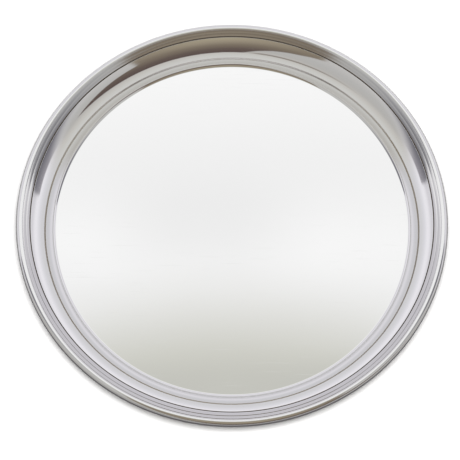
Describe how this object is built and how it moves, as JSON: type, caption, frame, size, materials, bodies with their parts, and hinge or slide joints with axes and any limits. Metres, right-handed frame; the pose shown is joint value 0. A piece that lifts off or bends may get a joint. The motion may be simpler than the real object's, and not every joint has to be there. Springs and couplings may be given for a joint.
{
  "type": "serving tray",
  "caption": "Round polished steel serving tray: flat floor, curved side wall, reeded border with a rolled, wired edge.",
  "frame": {"origin": "centre of the flat underside of the floor, where the tray rests", "axes": "+Z is the tray's axis, from the underside towards the serving side; X and Y are equivalent"},
  "size_m": [0.4, 0.4, 0.0235],
  "materials": {
    "polished_steel": "mirror-polished stainless steel sheet",
    "border_steel": "polished stainless steel moulding with fine turning lines",
    "wire_steel": "drawn steel wire"
  },
  "bodies": {
    "root": {"tray_pan": "polished_steel", "border_ring": "border_steel", "rim_wire": "wire_steel"}
  },
  "joints": []
}
